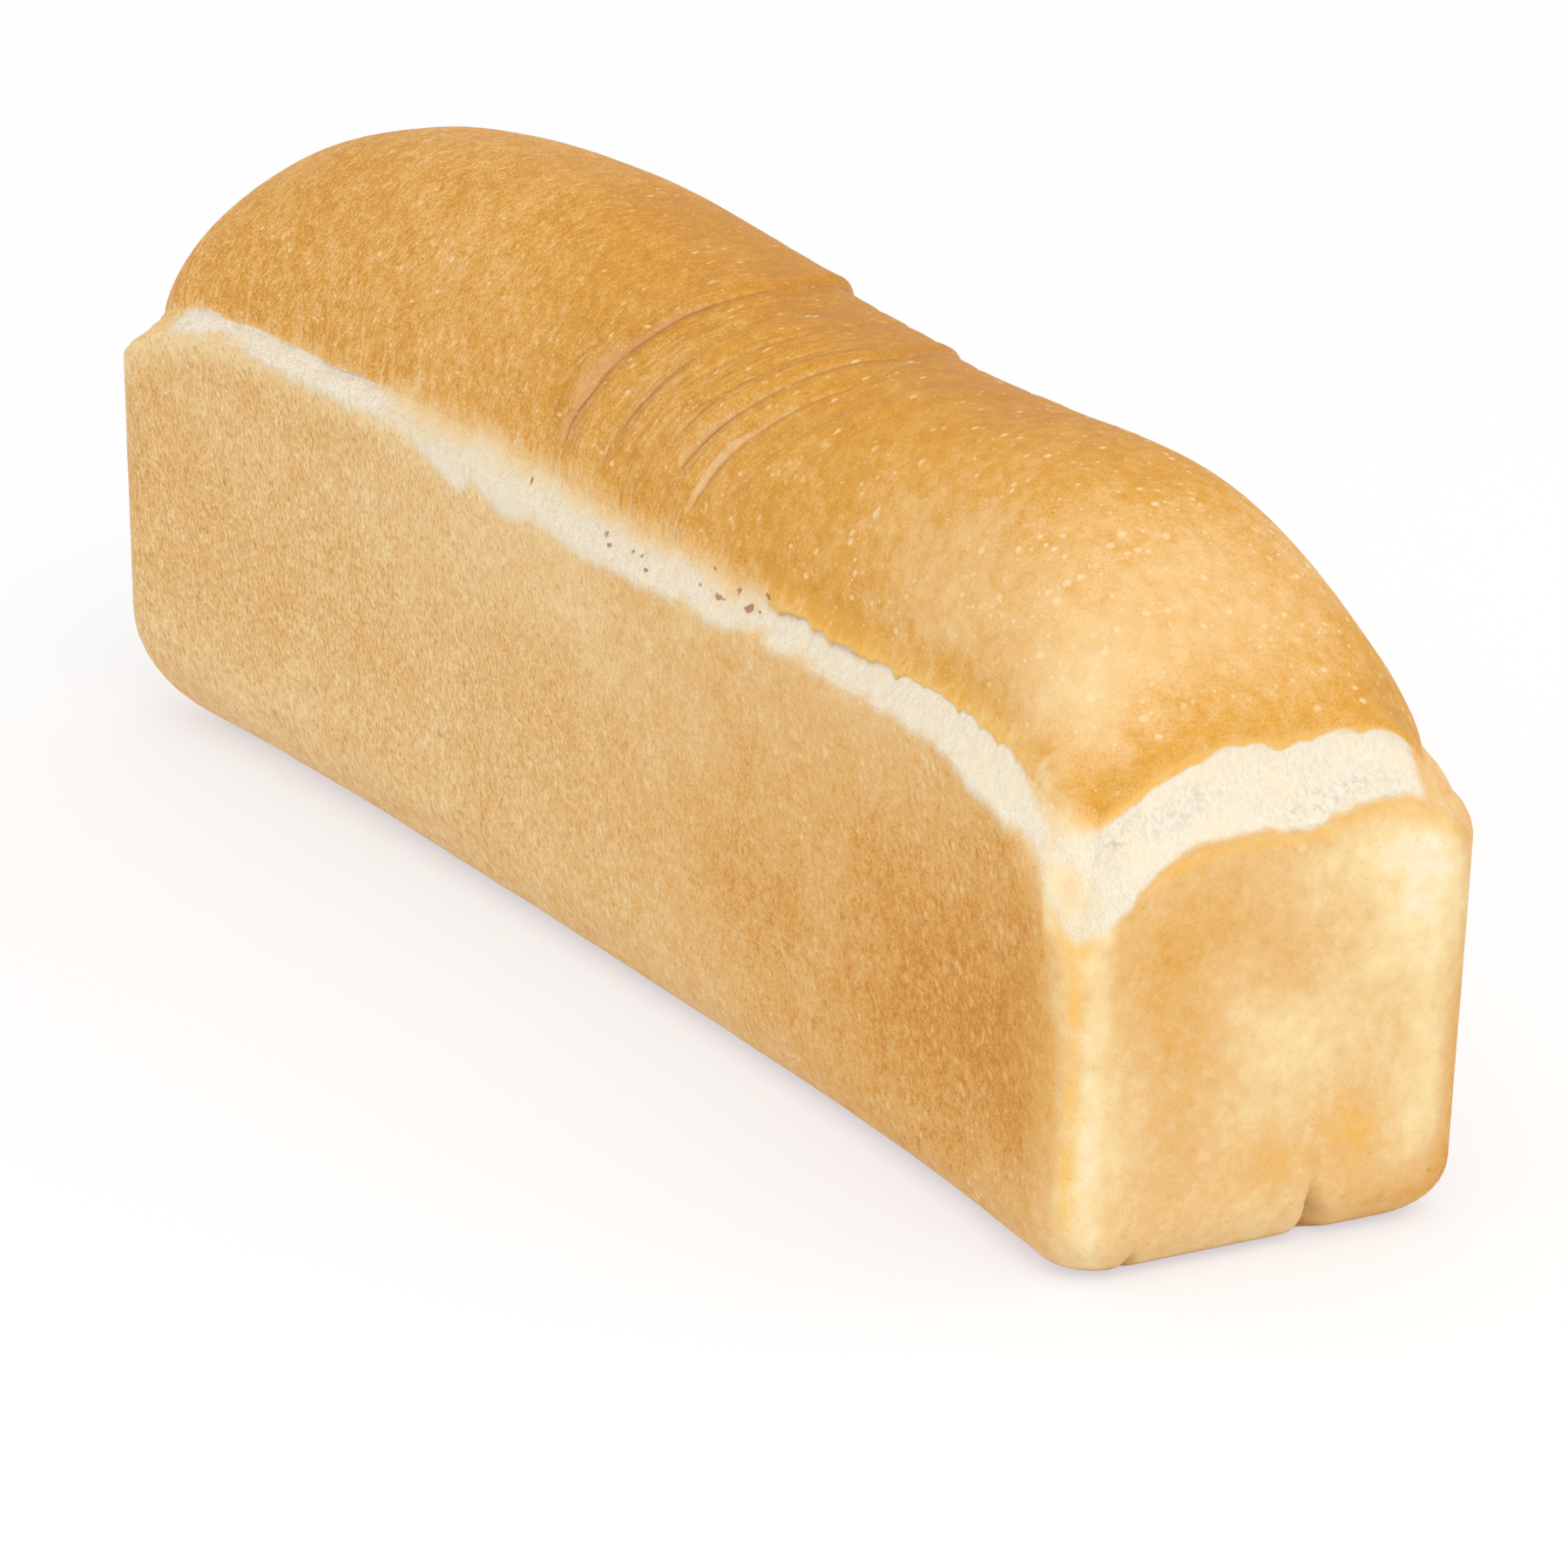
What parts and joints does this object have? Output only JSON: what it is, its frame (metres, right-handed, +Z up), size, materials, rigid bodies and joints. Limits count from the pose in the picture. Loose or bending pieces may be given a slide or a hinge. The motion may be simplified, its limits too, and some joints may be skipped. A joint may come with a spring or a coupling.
{
  "type": "tin loaf",
  "caption": "Long sandwich loaf baked in an open tin, with flat baked walls, a torn pale band above them and a domed golden crust with folds across its waist.",
  "frame": {"origin": "middle of the footprint's box, on the surface that the loaf stands on", "axes": "+X along the loaf towards the end with the notch in its foot, +Y across it, +Z up through the domed crust"},
  "size_m": [0.4572, 0.0986, 0.1646],
  "materials": {
    "crust": "golden baked crust, satin on the dome and matt on the tin-baked walls, with a cream torn band of crumb between them"
  },
  "bodies": {
    "root": {"loaf": "crust"}
  },
  "joints": []
}
